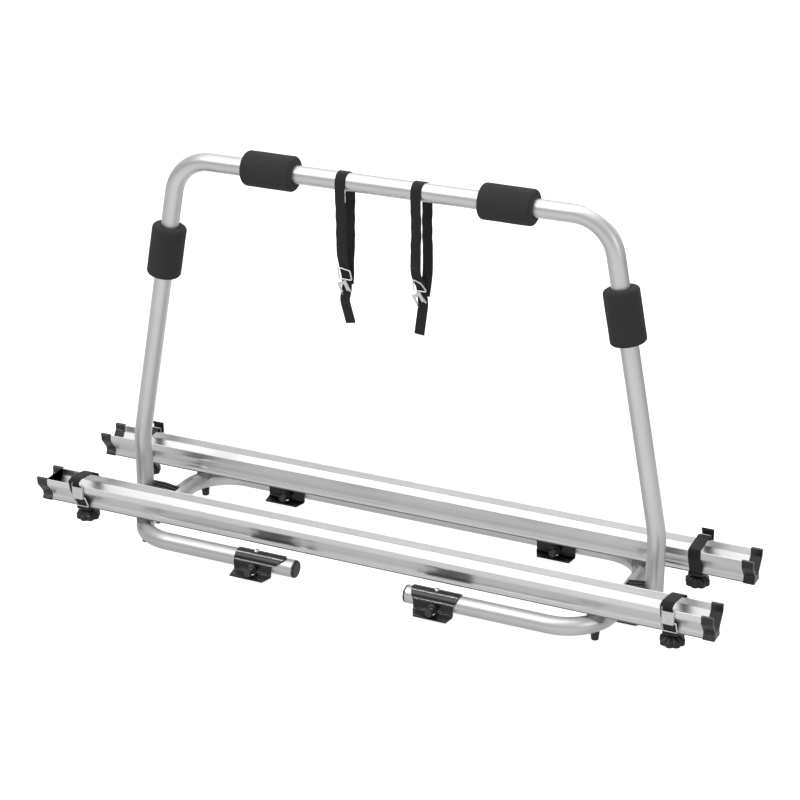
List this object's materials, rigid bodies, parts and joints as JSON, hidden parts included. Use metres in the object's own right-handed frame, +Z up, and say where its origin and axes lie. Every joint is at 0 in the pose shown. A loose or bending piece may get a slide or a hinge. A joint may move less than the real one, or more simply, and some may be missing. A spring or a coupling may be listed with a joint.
{
  "type": "drawbar bike rack",
  "caption": "Drawbar bike rack: C-shaped tube frame with clamp brackets, padded tube hoop, trough rails with end caps, buckled wheel straps on knobs and hanging frame straps.",
  "frame": {"origin": "on the ground under the middle of the rack, which stands on its four cap nuts", "axes": "+X along the wheel rails to the right, +Y from front to back across them, +Z up"},
  "size_m": [1.3, 0.3706, 0.7354],
  "materials": {
    "tube_aluminium": "satin silver anodised tube",
    "rail_aluminium": "extruded, satin silver anodised",
    "saddle_aluminium": "turned, matt",
    "cap_plastic": "black moulded, fine grain",
    "plug_plastic": "black moulded, slight gloss",
    "foot_plastic": "black moulded, ribbed",
    "nut_plastic": "black moulded cap nut",
    "carrier_plastic": "black moulded",
    "knob_plastic": "black, coarse grip texture",
    "bracket_paint": "black powder coat, slight gloss",
    "black_zinc": "black passivated zinc",
    "bright_zinc": "bright zinc",
    "foam": "dark grey closed-cell foam",
    "webbing": "black woven polyester webbing",
    "buckle_wire": "bright plated wire",
    "buckle_plate": "light grey plated sheet"
  },
  "bodies": {
    "rack": {"base_tube": "tube_aluminium", "base_tube_plugs": "plug_plastic", "hoop_tube": "tube_aluminium", "hoop_foot_left": "foot_plastic", "hoop_foot_right": "foot_plastic", "hoop_foot_bolts": "bright_zinc", "wheel_rail_front": "rail_aluminium", "wheel_rail_back": "rail_aluminium", "rail_cap_front_left": "cap_plastic", "rail_cap_front_right": "cap_plastic", "rail_cap_back_left": "cap_plastic", "rail_cap_back_right": "cap_plastic", "rail_saddle_front_left": "saddle_aluminium", "rail_saddle_front_right": "saddle_aluminium", "rail_saddle_back_left": "saddle_aluminium", "rail_saddle_back_right": "saddle_aluminium", "rail_bolts": "bright_zinc", "rail_cap_nuts": "nut_plastic", "foam_pad_bar_left": "foam", "foam_pad_bar_right": "foam", "foam_pad_leg_left": "foam", "foam_pad_leg_right": "foam"},
    "bracket_front_left": {"drawbar_bracket_front_left": "bracket_paint", "bracket_fasteners_front_left": "black_zinc"},
    "bracket_front_right": {"drawbar_bracket_front_right": "bracket_paint", "bracket_fasteners_front_right": "black_zinc"},
    "bracket_back_left": {"drawbar_bracket_back_left": "bracket_paint", "bracket_fasteners_back_left": "black_zinc"},
    "bracket_back_right": {"drawbar_bracket_back_right": "bracket_paint", "bracket_fasteners_back_right": "black_zinc"},
    "strap_front_left": {"strap_carrier_front_left": "carrier_plastic", "carrier_bolt_front_left": "bright_zinc", "wheel_strap_front_left": "webbing", "wheel_buckle_ring_front_left": "buckle_wire"},
    "knob_front_left": {"strap_knob_front_left": "knob_plastic"},
    "lever_front_left": {"wheel_buckle_lever_front_left": "buckle_plate"},
    "strap_front_right": {"strap_carrier_front_right": "carrier_plastic", "carrier_bolt_front_right": "bright_zinc", "wheel_strap_front_right": "webbing", "wheel_buckle_ring_front_right": "buckle_wire"},
    "knob_front_right": {"strap_knob_front_right": "knob_plastic"},
    "lever_front_right": {"wheel_buckle_lever_front_right": "buckle_plate"},
    "strap_back_left": {"strap_carrier_back_left": "carrier_plastic", "carrier_bolt_back_left": "bright_zinc", "wheel_strap_back_left": "webbing", "wheel_buckle_ring_back_left": "buckle_wire"},
    "knob_back_left": {"strap_knob_back_left": "knob_plastic"},
    "lever_back_left": {"wheel_buckle_lever_back_left": "buckle_plate"},
    "strap_back_right": {"strap_carrier_back_right": "carrier_plastic", "carrier_bolt_back_right": "bright_zinc", "wheel_strap_back_right": "webbing", "wheel_buckle_ring_back_right": "buckle_wire"},
    "knob_back_right": {"strap_knob_back_right": "knob_plastic"},
    "lever_back_right": {"wheel_buckle_lever_back_right": "buckle_plate"},
    "hanging_strap_left": {"upper_strap_left": "webbing", "upper_buckle_ring_left": "buckle_wire"},
    "hanging_lever_left": {"upper_buckle_lever_left": "buckle_plate"},
    "hanging_strap_right": {"upper_strap_right": "webbing", "upper_buckle_ring_right": "buckle_wire"},
    "hanging_lever_right": {"upper_buckle_lever_right": "buckle_plate"}
  },
  "joints": [
    {"name": "bracket_slide_front_left", "type": "slide", "parent": "rack", "child": "bracket_front_left", "axis": [1, 0, 0], "range_m": [-0.1, 0.02]},
    {"name": "bracket_slide_front_right", "type": "slide", "parent": "rack", "child": "bracket_front_right", "axis": [1, 0, 0], "range_m": [-0.004, 0.12]},
    {"name": "bracket_slide_back_left", "type": "slide", "parent": "rack", "child": "bracket_back_left", "axis": [1, 0, 0], "range_m": [-0.05, 0.12]},
    {"name": "bracket_slide_back_right", "type": "slide", "parent": "rack", "child": "bracket_back_right", "axis": [1, 0, 0], "range_m": [-0.12, 0.05]},
    {"name": "strap_slide_front_left", "type": "slide", "parent": "rack", "child": "strap_front_left", "axis": [1, 0, 0], "range_m": [-0.04, 0.045]},
    {"name": "knob_turn_front_left", "type": "hinge", "parent": "strap_front_left", "child": "knob_front_left", "pos_m": [-0.561, -0.11, 0.03], "axis": [0, 0, 1], "continuous": true},
    {"name": "lever_turn_front_left", "type": "hinge", "parent": "strap_front_left", "child": "lever_front_left", "pos_m": [-0.561, -0.13786, 0.0769], "axis": [1, 0, 0], "range_deg": [0, 70]},
    {"name": "strap_slide_front_right", "type": "slide", "parent": "rack", "child": "strap_front_right", "axis": [1, 0, 0], "range_m": [-0.045, 0.04]},
    {"name": "knob_turn_front_right", "type": "hinge", "parent": "strap_front_right", "child": "knob_front_right", "pos_m": [0.574, -0.11, 0.03], "axis": [0, 0, 1], "continuous": true},
    {"name": "lever_turn_front_right", "type": "hinge", "parent": "strap_front_right", "child": "lever_front_right", "pos_m": [0.574, -0.13786, 0.0769], "axis": [1, 0, 0], "range_deg": [0, 70]},
    {"name": "strap_slide_back_left", "type": "slide", "parent": "rack", "child": "strap_back_left", "axis": [1, 0, 0], "range_m": [-0.04, 0.045]},
    {"name": "knob_turn_back_left", "type": "hinge", "parent": "strap_back_left", "child": "knob_back_left", "pos_m": [-0.562, 0.11, 0.03], "axis": [0, 0, 1], "continuous": true},
    {"name": "lever_turn_back_left", "type": "hinge", "parent": "strap_back_left", "child": "lever_back_left", "pos_m": [-0.562, 0.13786, 0.0769], "axis": [-1, 0, 0], "range_deg": [0, 70]},
    {"name": "strap_slide_back_right", "type": "slide", "parent": "rack", "child": "strap_back_right", "axis": [1, 0, 0], "range_m": [-0.045, 0.04]},
    {"name": "knob_turn_back_right", "type": "hinge", "parent": "strap_back_right", "child": "knob_back_right", "pos_m": [0.545, 0.11, 0.03], "axis": [0, 0, 1], "continuous": true},
    {"name": "lever_turn_back_right", "type": "hinge", "parent": "strap_back_right", "child": "lever_back_right", "pos_m": [0.545, 0.13786, 0.0769], "axis": [-1, 0, 0], "range_deg": [0, 70]},
    {"name": "upper_strap_slide_left", "type": "slide", "parent": "rack", "child": "hanging_strap_left", "axis": [1, 0, 0], "range_m": [-0.075, 0.05]},
    {"name": "upper_lever_turn_left", "type": "hinge", "parent": "hanging_strap_left", "child": "hanging_lever_left", "pos_m": [-0.077, -0.00392, 0.53], "axis": [-1, 0, 0], "range_deg": [0, 70]},
    {"name": "upper_strap_slide_right", "type": "slide", "parent": "rack", "child": "hanging_strap_right", "axis": [1, 0, 0], "range_m": [-0.05, 0.075]},
    {"name": "upper_lever_turn_right", "type": "hinge", "parent": "hanging_strap_right", "child": "hanging_lever_right", "pos_m": [0.065, -0.00392, 0.53], "axis": [-1, 0, 0], "range_deg": [0, 70]}
  ]
}
